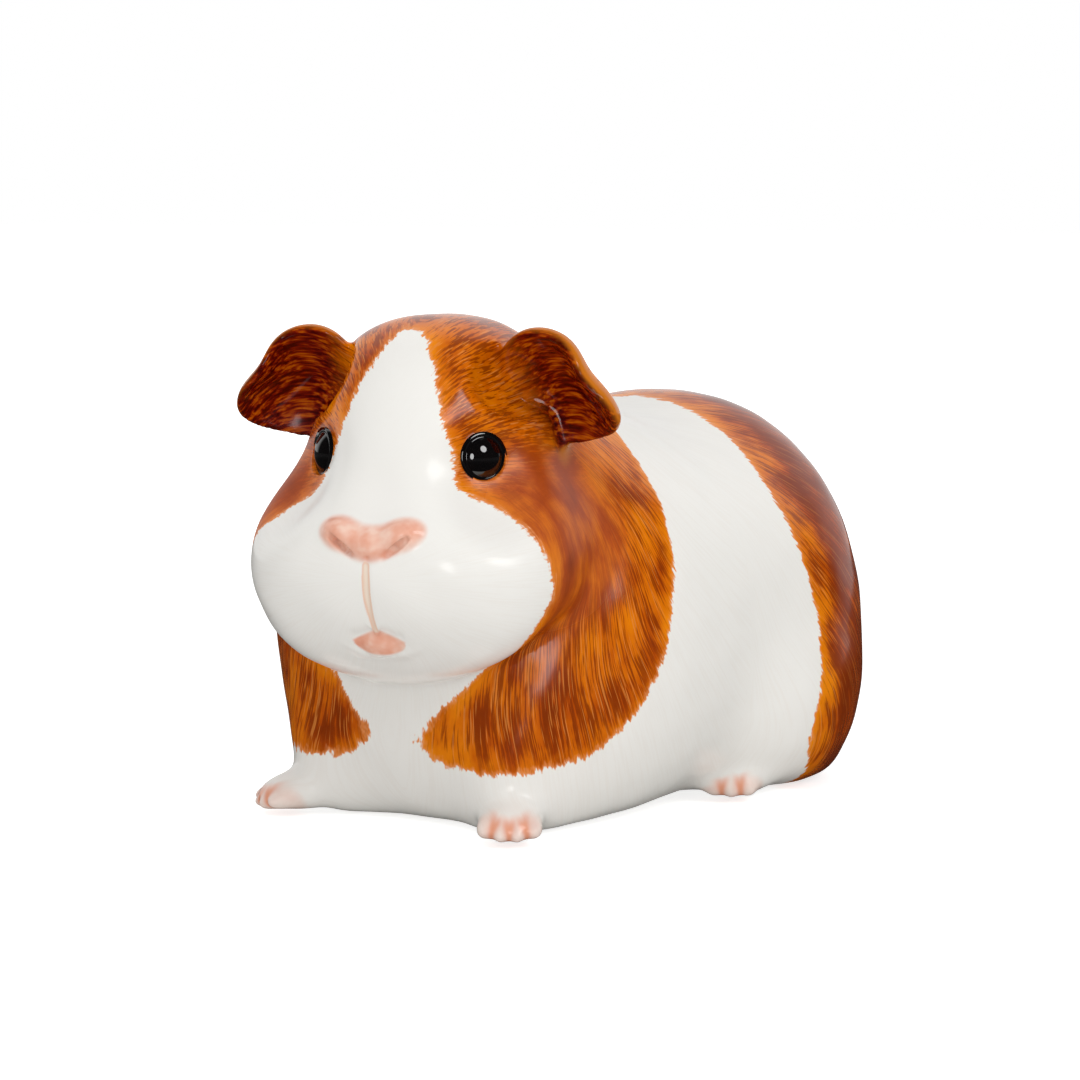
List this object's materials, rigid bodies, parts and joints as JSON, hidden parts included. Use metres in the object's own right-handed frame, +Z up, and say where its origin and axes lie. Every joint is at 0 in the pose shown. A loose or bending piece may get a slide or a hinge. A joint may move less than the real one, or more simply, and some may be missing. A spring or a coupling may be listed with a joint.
{
  "type": "guinea pig figurine",
  "caption": "Crouching glazed ceramic guinea pig ornament with turned head, petal ears and a flat underside.",
  "frame": {"origin": "middle of the flat underside, below the loin", "axes": "+Z up, -Y towards the nose along the body, +X towards the animal's left side"},
  "size_m": [0.1144, 0.1718, 0.115],
  "materials": {
    "glazed_body": "clear glazed earthenware, off-white with hand-painted red-brown patches",
    "glazed_brown": "clear glazed earthenware, hand-painted red-brown",
    "glazed_pink": "clear glazed earthenware, painted pink",
    "glazed_black": "clear glazed earthenware, painted black"
  },
  "bodies": {
    "root": {"trunk": "glazed_body", "head": "glazed_body", "foreleg_left": "glazed_body", "foreleg_right": "glazed_body", "hindleg_left": "glazed_body", "hindleg_right": "glazed_body", "ear_left": "glazed_brown", "ear_right": "glazed_brown", "nose": "glazed_pink", "lip": "glazed_pink", "eye_left": "glazed_black", "eye_right": "glazed_black"}
  },
  "joints": []
}
